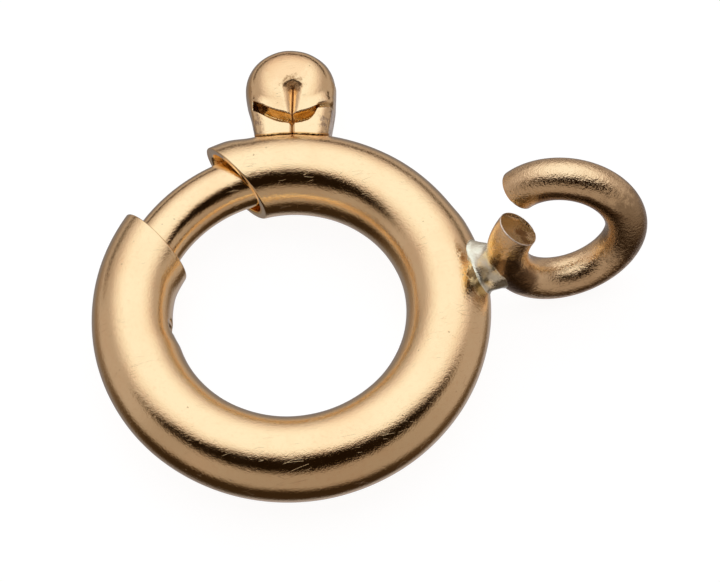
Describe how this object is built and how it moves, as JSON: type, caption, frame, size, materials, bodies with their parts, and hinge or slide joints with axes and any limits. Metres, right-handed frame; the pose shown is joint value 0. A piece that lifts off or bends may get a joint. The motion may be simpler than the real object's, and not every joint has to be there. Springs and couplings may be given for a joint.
{
  "type": "spring ring clasp",
  "caption": "Spring ring clasp: hollow ring with a mouth closed by a sprung curved tongue, a round trigger to slide it back, and an open jump ring soldered to its side.",
  "frame": {"origin": "centre of the ring, on its axis and in the middle of the tube's height", "axes": "+Z along the ring's axis and up as the clasp lies, +X towards the soldered jump ring"},
  "size_m": [0.0085, 0.0073, 0.0023],
  "materials": {
    "polished_gold": "polished gold-filled metal with fine scratches",
    "spring_steel": "bright drawn wire"
  },
  "bodies": {
    "clasp": {"clasp_body": "polished_gold", "spring": "spring_steel"},
    "slider": {"tongue": "polished_gold", "trigger": "polished_gold"}
  },
  "joints": [
    {"name": "trigger_slide", "type": "hinge", "parent": "clasp", "child": "slider", "pos_m": [0, 0, 0], "axis": [0, 0, 1], "range_deg": [-44, 0], "stiffness_Nm_per_rad": 0.00002, "springref_deg": 5.73, "deforming": ["spring"]}
  ]
}
